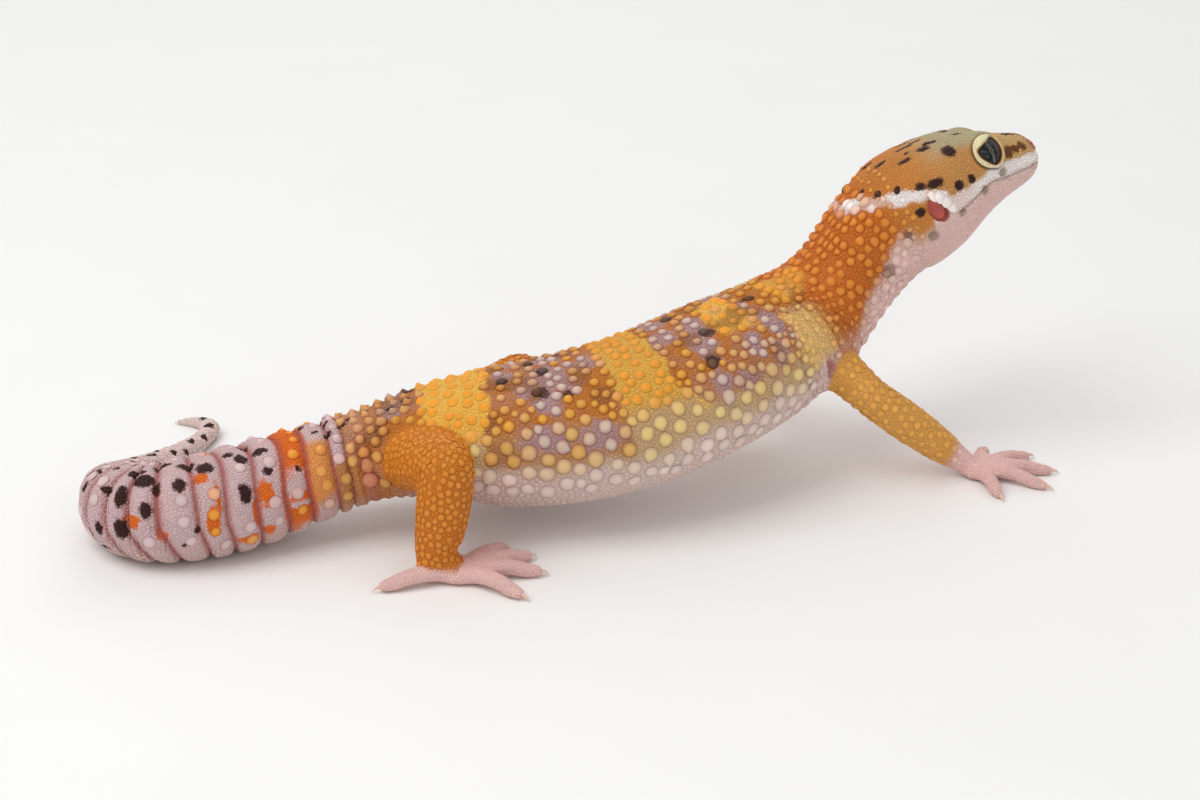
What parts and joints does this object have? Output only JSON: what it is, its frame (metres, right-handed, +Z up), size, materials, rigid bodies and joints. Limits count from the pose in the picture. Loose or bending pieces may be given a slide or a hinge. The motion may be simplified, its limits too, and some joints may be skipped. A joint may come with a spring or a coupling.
{
  "type": "leopard gecko",
  "caption": "Life-size still model of an adult leopard gecko standing with its head raised and its fat ringed tail curled round on the ground.",
  "frame": {"origin": "on the ground, under the middle of the whole animal's box", "axes": "+X along the animal from tail to head, +Y to the side its tail tip and face turn to, +Z up"},
  "size_m": [0.1548, 0.0846, 0.053],
  "materials": {
    "head_skin": "satin",
    "body_skin": "satin",
    "tail_skin": "satin",
    "foot_skin": "satin",
    "eye": "gloss",
    "ear_lining": "satin",
    "claw_horn": "satin"
  },
  "bodies": {
    "root": {"claw_foot_left_1": "claw_horn", "claw_foot_left_2": "claw_horn", "claw_foot_left_3": "claw_horn", "claw_foot_left_4": "claw_horn", "claw_foot_left_5": "claw_horn", "claw_foot_right_1": "claw_horn", "claw_foot_right_2": "claw_horn", "claw_foot_right_3": "claw_horn", "claw_foot_right_4": "claw_horn", "claw_foot_right_5": "claw_horn", "claw_hand_left_1": "claw_horn", "claw_hand_left_2": "claw_horn", "claw_hand_left_3": "claw_horn", "claw_hand_left_4": "claw_horn", "claw_hand_left_5": "claw_horn", "claw_hand_right_1": "claw_horn", "claw_hand_right_2": "claw_horn", "claw_hand_right_3": "claw_horn", "claw_hand_right_4": "claw_horn", "claw_hand_right_5": "claw_horn", "ear_left": "ear_lining", "ear_right": "ear_lining", "eye_left": "eye", "eye_right": "eye", "foot_left": "foot_skin", "foot_right": "foot_skin", "forearm_left": "body_skin", "forearm_right": "body_skin", "hand_left": "foot_skin", "hand_right": "foot_skin", "head": "head_skin", "lower_jaw": "head_skin", "neck": "body_skin", "shin_left": "body_skin", "shin_right": "body_skin", "tail_base": "tail_skin", "tail_middle": "tail_skin", "tail_rear": "tail_skin", "tail_tip": "tail_skin", "thigh_left": "body_skin", "thigh_right": "body_skin", "trunk": "body_skin", "upper_arm_left": "body_skin", "upper_arm_right": "body_skin"}
  },
  "joints": []
}
